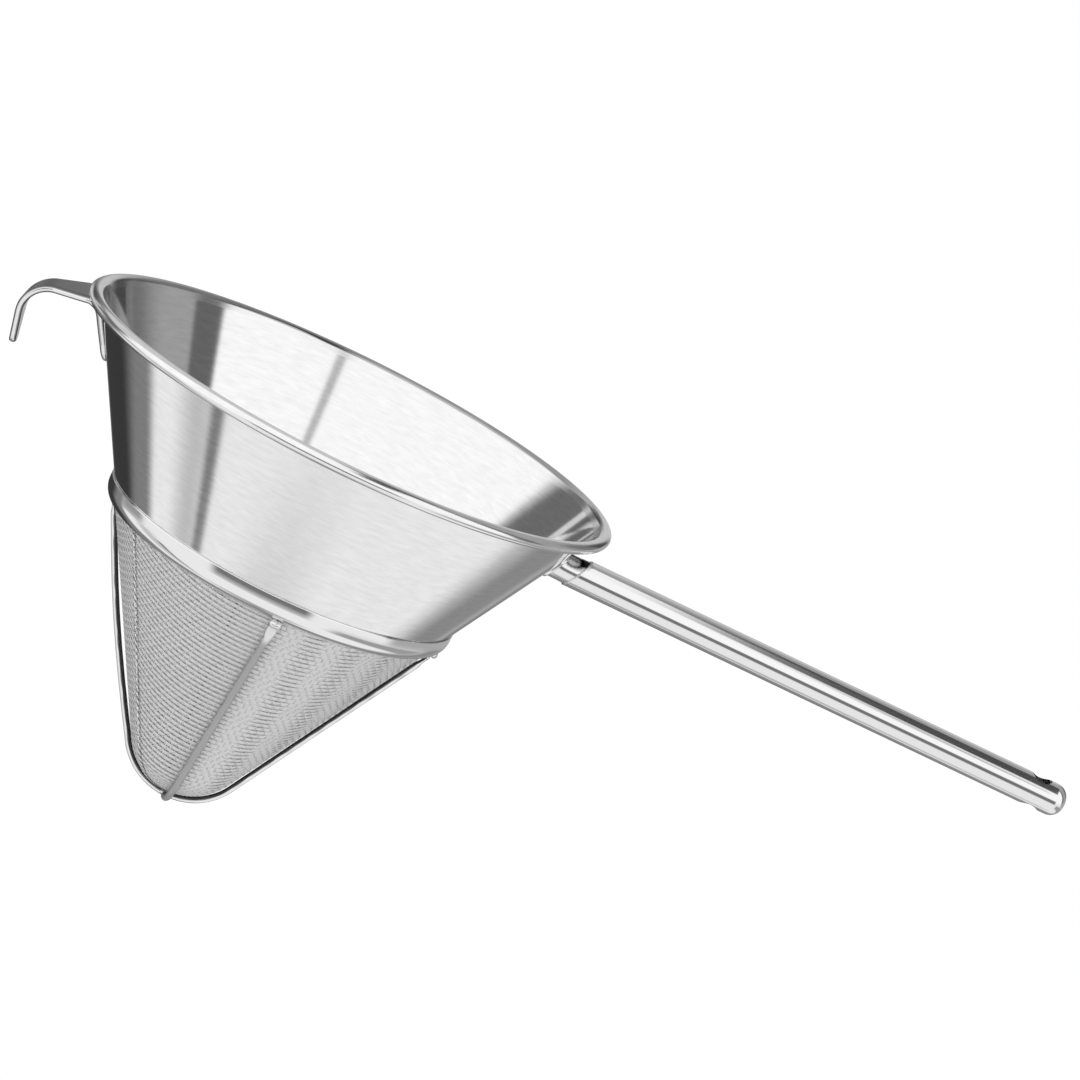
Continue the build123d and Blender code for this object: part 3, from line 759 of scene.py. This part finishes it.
# Unit direction round the cone's axis in x and y, height in z: streaks that follow the hoops.
def aroundAxis(tree, point):
    parts = tree.node("ShaderNodeSeparateXYZ", {}, [point])
    x, y, z = parts.value(0), parts.value(1), parts.value(2)
    square = x * x + y * y
    radius = square.math("SQRT", square)
    return tree.node("ShaderNodeCombineXYZ", {}, [x / radius, y / radius, z]).value()


# 1 between start and end, falling to 0 over the soft width outside them.
def edgeMask(tree, value, start, end, soft):
    rising = tree.node("ShaderNodeMapRange", {"interpolation_type": "SMOOTHSTEP"},
                       {"Value": value, "From Min": start - soft / 2, "From Max": start + soft / 2}).value()
    falling = tree.node("ShaderNodeMapRange", {"interpolation_type": "SMOOTHSTEP"},
                        {"Value": value, "From Min": end - soft / 2, "From Max": end + soft / 2}).value()
    return rising * (1.0 - falling)


def grey(level):
    return (level, level, level, 1.0)


# How finely the brushed lines are drawn: the fine and the coarse grain's scale along each axis
grain = dict(hoops=((6, 6, 9000), (14, 14, 800)), along=((60, 9000, 9000), (20, 900, 900)),
             none=((5000, 5000, 5000), (500, 500, 500)))


# Bare steel: brushed lines and slow waves move the roughness, the shade and the bump.
def steel(name, look):
    material = bpy.data.materials.new(name)
    material.use_nodes = True
    tree = Tree(material.node_tree)
    point = objectPoint(tree)
    place = aroundAxis(tree, point) if look["lines"] == "hoops" else point
    fineScale, coarseScale = grain[look["lines"]]
    fine = noise(tree, stretched(tree, place, fineScale), 1.0, 3.0, 0.6)
    coarse = noise(tree, stretched(tree, place, coarseScale), 1.0)
    slow = noise(tree, point, look["slowScale"])
    rough = (look["rough"] + (fine - 0.5) * look["fineRough"] + (coarse - 0.5) * look["coarseRough"]
             + (slow - 0.5) * look["slowRough"])
    if "rolled" in look:                                # the rolled rim is less polished than the sheet
        low, extra = look["rolled"]
        height = tree.node("ShaderNodeSeparateXYZ", {}, [point]).value(2)
        rough = rough + edgeMask(tree, height, low * mm, 1.0, 0.4 * mm) * extra
    tone = look["tone"] * (1.0 + (fine - 0.5) * look["fineTone"] + (slow - 0.5) * look["slowTone"])
    if "coarseTone" in look:                            # grain of the brushed sheet
        tone = tone * (1.0 + (coarse - 0.5) * look["coarseTone"])
    # painted shade: the tone is darkened where the piece's own attribute marks it
    if "paintedShade" in look:                                # darker where the piece's own attribute says so
        side = tree.node("ShaderNodeAttribute", {"attribute_name": "paintedShade"}).value("Fac")
        dark = edgeMask(tree, side, look["paintedShadeFrom"], 2, look["paintedShadeSoft"])
        tone = tone * (1.0 - dark * look["paintedShade"])
    if "scale" in look:                                 # darker within spans of x, y or z: painted shade on the cone's rim and the fixing, a darker lower part on the front wire
        spans, strength = look["scale"]
        places = tree.node("ShaderNodeSeparateXYZ", {}, [point])
        for axis, start, end, soft in spans:
            strength = edgeMask(tree, places.value(axis), start * mm, end * mm, soft * mm) * strength
        tone = tone * (1.0 - strength)
    colour = tree.node("ShaderNodeCombineColor", {}, [tone, tone, tone]).value()
    height = fine * look["fineBump"] + coarse * look["coarseBump"] + slow * look["slowBump"]
    bump = tree.node("ShaderNodeBump", {}, {"Strength": 1.0, "Distance": 0.001, "Height": height}).value()
    shader = tree.node("ShaderNodeBsdfPrincipled", {}, {"Base Color": colour, "Metallic": look["metal"],
                                                        "Roughness": rough, "Normal": bump})
    tree.node("ShaderNodeOutputMaterial", {}, {"Surface": shader.value()})
    return material


# Plain steel, then each finish by what differs from it: the brushed lines' direction, and how much
# the fine and coarse grain and the slow waves move roughness, tone and bump
plainSteel = dict(lines="none", fineRough=0.05, coarseRough=0.06, slowRough=0.03, tone=0.80, fineTone=0.04,
                  slowTone=0.03, slowScale=35.0, fineBump=0.0008, coarseBump=0.002, slowBump=0.01, metal=1.0)
finishes = dict(
    brushedCone=dict(lines="hoops", rough=0.075, fineRough=0.04, coarseRough=0.03, slowRough=0.02,
                     fineTone=0.20, coarseTone=0.22, slowScale=25.0, fineBump=0.0012, coarseBump=0.004,
                     # painted shade: the top of the rim on its far half is darkened by half
                     slowBump=0.02, rolled=(-3.3, 0.08), scale=([(2, -1.3, 50, 0.5), (1, 30, 300, 50)], 0.5)),
    polishedBand=dict(lines="hoops", rough=0.09, fineRough=0.04, coarseRough=0.04, tone=0.83, fineTone=0.03,
                      fineBump=0.0005),
    satinTube=dict(lines="along", rough=0.10, fineRough=0.06, coarseRough=0.05, slowRough=0.04),
    fixingSteel=dict(lines="along", rough=0.14, fineRough=0.06, slowRough=0.04, slowTone=0.05,
                     coarseBump=0.006, slowBump=0.02,
                     # painted shade: the top of the neck, under the rim, is darkened almost to black
                     scale=([(2, -15.6, 50, 0.8), (0, 95.8, 200, 1.0)], 0.95)),
    hookSteel=dict(lines="along", rough=0.11, fineRough=0.06, coarseRough=0.05, slowRough=0.04,
                   paintedShade=0.80, paintedShadeFrom=0.50, paintedShadeSoft=0.4),
    brightWire=dict(rough=0.09, tone=0.82, fineTone=0.03, slowTone=0.04, fineBump=0.0003, coarseBump=0.004,
                    slowBump=0.02),
    weldSteel=dict(rough=0.26, fineRough=0.08, coarseRough=0.10, tone=0.78, fineTone=0.06, slowTone=0.06,
                   coarseBump=0.012, slowBump=0.02),
    guardWire=dict(rough=0.10, fineTone=0.03, slowTone=0.04, fineBump=0.0003, coarseBump=0.006,
                   slowBump=0.02, paintedShade=0.9, paintedShadeFrom=0.45, paintedShadeSoft=0.3),
    frontWire=dict(rough=0.34, fineTone=0.06, slowTone=0.10, fineBump=0.0003, coarseBump=0.006,
                   slowBump=0.02, metal=0.4, paintedShade=0.9, paintedShadeFrom=0.28, paintedShadeSoft=0.3,
                   # the wire is darker below 76 mm down, lighter only near its feet
                   scale=([(2, -200.0, -76.0, 4.0)], 0.5)),
    meshWire=dict(rough=0.38, fineRough=0.06, slowRough=0.04, tone=0.69, slowTone=0.06, fineBump=0.0003,
                  metal=0.25, paintedShade=0.97, paintedShadeFrom=0.85, paintedShadeSoft=0.5),
)
looks = {name: {**plainSteel, **own} for name, own in finishes.items()}
steels = {name: steel(name, look) for name, look in looks.items()}


def coat(material, *pieces):
    for piece in pieces:
        piece.data.materials.clear()
        piece.data.materials.append(steels[material])


coat("brushedCone", coneSheet)
coat("polishedBand", clampBand)
coat("satinTube", handleTube)
coat("hookSteel", restHook)
coat("fixingSteel", handleFixing)
coat("guardWire", sideWire)
coat("frontWire", frontWire)
coat("brightWire", rimRing, edgeRing, seamDots)
coat("weldSteel", footWelds, tipWeld, handleBead)
coat("meshWire", *meshPieces)
print("materials set")


studio = dict(floorHeight=-330.0, floorSize=9000.0, paper=0.9, glow=1.08, glowShare=0.8, sideLevel=0.9,
              key=dict(place=(-300, -900, 900), size=900, power=2.5))
floorGrid = np.array([[[-1, -1, 0], [1, -1, 0]], [[-1, 1, 0], [1, 1, 0]]], float) * studio["floorSize"]
floorGrid[..., 2] = studio["floorHeight"]
floor = meshFromArrays("floor", floorGrid.reshape(-1, 3), [[0, 1, 3, 2]])
if floor.data.polygons[0].normal.z < 0:
    floor.data.flip_normals()
paper = bpy.data.materials.new("paper")
paper.use_nodes = True
tree = Tree(paper.node_tree)
rays = tree.node("ShaderNodeLightPath")
matte = tree.node("ShaderNodeBsdfDiffuse", {}, {"Color": grey(studio["paper"])}).value()
glow = tree.node("ShaderNodeEmission", {}, {"Color": grey(1.0), "Strength": studio["glow"]}).value()
share = rays.value("Is Camera Ray") * studio["glowShare"]
surface = tree.node("ShaderNodeMixShader", {}, [share, matte, glow]).value()
tree.node("ShaderNodeOutputMaterial", {}, {"Surface": surface})
floor.data.materials.append(paper)
floor.visible_glossy = False

# World: white to the camera. Polished metal sees a white tent with dark and grey cards in it.
# A card is (from, to, edge) in degrees round, 0 towards the camera and + to the right,
# then (from, to, edge) in height, -1 straight down and 1 straight up, and its level.
tent = dict(
    above=1.16, below=0.98, horizon=(-0.05, 2, 0.1),
    # a dark card straight overhead, which the top of the handle shows: spans of the direction's x, y and z
    overhead=dict(x=(0.13, 0.34, 0.06), y=(-0.53, 0.30, 0.12), z=(0, 2, 0.1), level=0.08),
    cards=[
        ((83, 180, 3), (-0.12, 1.2, 0.1), 0.40),
        ((126, 154, 22), (-0.12, 0.5, 0.1), 0.19),
        ((84, 99, 3), (0.0, 1.2, 0.1), 0.15),
        ((139.5, 142.5, 2), (-0.2, 0.35, 0.1), 0.22),
        ((145.5, 172, 1.5), (-0.2, 0.35, 0.1), 0.07),
        ((-190, -108, 9), (-0.12, 0.42, 0.08), 0.17),
        ((-190, -115, 12), (0.42, 1.2, 0.08), 0.70),
        ((-172, -150, 6), (-0.1, 0.3, 0.1), 0.06),
        ((-146, -141, 2), (0.05, 0.35, 0.1), 0.75),
        ((15, 20, 3), (0.60, 0.80, 0.05), 0.55),
        ((-101, -84, 16), (-0.95, -0.3, 0.1), 0.62),
        ((125, 232, 26), (-1.2, -0.1, 0.1), 0.29),
        ((50, 126, 16), (-0.62, -0.30, 0.1), 0.38),
        ((160, 194, 6), (-0.3, 0.25, 0.1), 0.24),
        ((156, 182, 12), (-0.6, -0.15, 0.1), 0.50),
        ((-200, -121, 8), (-0.80, -0.1, 0.1), 0.24),
        ((-172, -138, 14), (-0.6, -0.1, 0.1), 0.045),
        ((-85, -77, 5), (-0.9, -0.5, 0.1), 0.22),
        ((-122, -95, 10), (-0.28, -0.1, 0.08), 0.35),
        ((-164, -126, 8), (-0.13, 0.12, 0.05), 0.65),
        ((88, 158, 12), (-0.28, 0.05, 0.08), 0.45),
        ((-35, 30, 8), (-0.29, 0.09, 0.12), 0.20),
        ((-90, 90, 20), (-1.2, -0.96, 0.09), 0.35),
        ((161, 187, 10), (-0.25, 0.70, 0.1), 0.60),
    ],
)


world = bpy.data.worlds.new("studio")
bpy.context.scene.world = world
world.use_nodes = True
tree = Tree(world.node_tree)
direction = tree.node("ShaderNodeTexCoord").value("Generated")
parts = tree.node("ShaderNodeSeparateXYZ", {}, [direction])
x, y, z = parts.value(0), parts.value(1), parts.value(2)
turn = x.math("ARCTAN2", x, y * -1.0) * math.degrees(1)
level = tent["below"] + edgeMask(tree, z, *tent["horizon"]) * (tent["above"] - tent["below"])
for (left, right, soft), (low, high, softHigh), shade in tent["cards"]:
    around = edgeMask(tree, turn, left, right, soft)
    if right > 180:                                     # the part past the back comes in on the other side
        around = around + edgeMask(tree, turn, left - 360, right - 360, soft)
    if left < -180:
        around = around + edgeMask(tree, turn, left + 360, right + 360, soft)
    level = level + edgeMask(tree, z, low, high, softHigh) * around * (shade - level)
over = tent["overhead"]
mask = edgeMask(tree, x, *over["x"]) * edgeMask(tree, y, *over["y"]) * edgeMask(tree, z, *over["z"])
level = level + mask * (over["level"] - level)
rays = tree.node("ShaderNodeLightPath")
mirrored = tree.node("ShaderNodeBackground", {}, {"Color": grey(1.0), "Strength": level}).value()
plain = tree.node("ShaderNodeBackground", {}, {"Color": grey(1.0), "Strength": studio["sideLevel"]}).value()
white = tree.node("ShaderNodeBackground", {}, {"Color": grey(1.0), "Strength": 1.0}).value()
forObject = tree.node("ShaderNodeMixShader", {}, [rays.value("Is Glossy Ray"), plain, mirrored]).value()
seen = tree.node("ShaderNodeMixShader", {}, [rays.value("Is Camera Ray"), forObject, white]).value()
tree.node("ShaderNodeOutputWorld", {}, {"Surface": seen})

lamp = bpy.data.lights.new("keyLamp", "AREA")
lamp.shape, lamp.size, lamp.energy = "SQUARE", studio["key"]["size"] * mm, studio["key"]["power"]
lampObject = bpy.data.objects.new("keyLamp", lamp)
lampObject.location = Vector(studio["key"]["place"]) * mm
lampObject.rotation_euler = (-lampObject.location).to_track_quat("-Z", "Y").to_euler()
lampObject.visible_glossy = False                      # the metal sees only the tent
bpy.context.scene.collection.objects.link(lampObject)

# Camera: 11 degrees above the rim and 5 degrees round, rolled so that the handle falls to the lower right
shot = dict(lens=106.633, place=(-18.27, -1109.31, 208.82), right=(0.8941, 0.01141, 0.44772),
            down=(0.43954, -0.21419, -0.87231), forward=(0.08595, 0.97673, -0.19652))
cameraData = bpy.data.cameras.new("camera")
cameraData.sensor_width, cameraData.lens = 36.0, shot["lens"]
cameraData.clip_start, cameraData.clip_end = 0.05, 60.0
camera = bpy.data.objects.new("camera", cameraData)
axes = np.stack([shot["right"], -np.array(shot["down"]), -np.array(shot["forward"])], 1)
turnMatrix = Matrix([list(row) for row in axes]).to_4x4()
camera.matrix_world = Matrix.Translation(Vector(shot["place"]) * mm) @ turnMatrix
bpy.context.scene.collection.objects.link(camera)
bpy.context.scene.camera = camera
bpy.context.scene.view_settings.view_transform = "Standard"
print("studio set")
